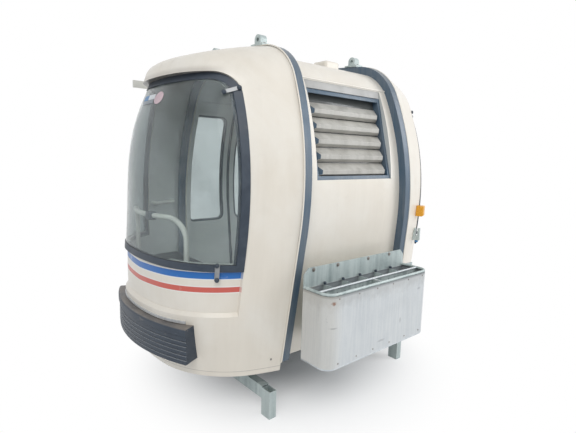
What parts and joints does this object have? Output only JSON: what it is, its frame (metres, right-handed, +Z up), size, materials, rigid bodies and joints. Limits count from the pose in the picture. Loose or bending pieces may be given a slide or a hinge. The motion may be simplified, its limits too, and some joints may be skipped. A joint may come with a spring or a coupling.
{
  "type": "cable car cabin",
  "caption": "Rounded cream cable car cabin with wrapped end windows, twin slate-blue arches, louvre window, outside ski box, sliding doors and foot frames.",
  "frame": {"origin": "on the ground under the middle of the whole, ski box and door gear included", "axes": "+X along the direction of travel towards the rear end, +Y towards the door side, +Z up"},
  "size_m": [2.32, 1.786, 2.2076],
  "materials": {
    "cream_shell": "cream glass-fibre shell, weathered gloss",
    "arch_paint": "slate-blue paint",
    "clear_pane": "clear scratched plastic pane",
    "window_rubber": "dark slate rubber",
    "bumper_rubber": "ribbed rubber, dusty on top",
    "floor_plate": "ribbed aluminium floor",
    "galvanised": "weathered galvanised steel",
    "louvre_paint": "slate-blue paint",
    "louvre_aluminium": "weathered aluminium sheet",
    "bench_moulding": "pale grey moulding",
    "seat_vinyl": "dark vinyl",
    "white_tube": "off-white paint",
    "amber_lens": "amber moulding",
    "clip_steel": "bright steel strap"
  },
  "bodies": {
    "cabin": {"front_arch": "arch_paint", "rear_arch": "arch_paint", "front_end_shell": "cream_shell", "rear_end_shell": "cream_shell", "side_panel": "cream_shell", "roof_panel": "cream_shell", "door_surround": "cream_shell", "roof_vent": "cream_shell", "front_window": "clear_pane", "rear_window": "clear_pane", "front_window_seal": "window_rubber", "rear_window_seal": "window_rubber", "front_bumper": "bumper_rubber", "rear_bumper": "bumper_rubber", "floor_pan": "floor_plate", "door_top_rail": "galvanised", "door_bottom_rail": "galvanised", "ski_box": "galvanised", "ski_box_back": "galvanised", "ski_box_rim": "galvanised", "ski_box_dividers": "galvanised", "front_foot_frame": "galvanised", "rear_foot_frame": "galvanised", "front_hanger_brackets": "galvanised", "rear_hanger_brackets": "galvanised", "rear_latch": "galvanised", "louvre_frame": "louvre_paint", "louvre_slats": "louvre_aluminium", "front_bench": "bench_moulding", "rear_bench": "bench_moulding", "front_seat_pad": "seat_vinyl", "rear_seat_pad": "seat_vinyl", "front_guard_rail": "white_tube", "rear_guard_rail": "white_tube", "amber_marker": "amber_lens", "front_window_clips": "clip_steel", "rear_window_clips": "clip_steel"},
    "front_door": {"front_door_leaf": "cream_shell", "front_door_window_seal": "window_rubber", "front_door_window": "clear_pane", "front_door_edge_rubber": "window_rubber", "front_door_hangers": "galvanised"},
    "rear_door": {"rear_door_leaf": "cream_shell", "rear_door_window_seal": "window_rubber", "rear_door_window": "clear_pane", "rear_door_edge_rubber": "window_rubber", "rear_door_hangers": "galvanised"}
  },
  "joints": [
    {"name": "front_door_slide", "type": "slide", "parent": "cabin", "child": "front_door", "axis": [-1, 0, 0], "range_m": [0, 0.4]},
    {"name": "rear_door_slide", "type": "slide", "parent": "cabin", "child": "rear_door", "axis": [1, 0, 0], "range_m": [0, 0.4]}
  ]
}
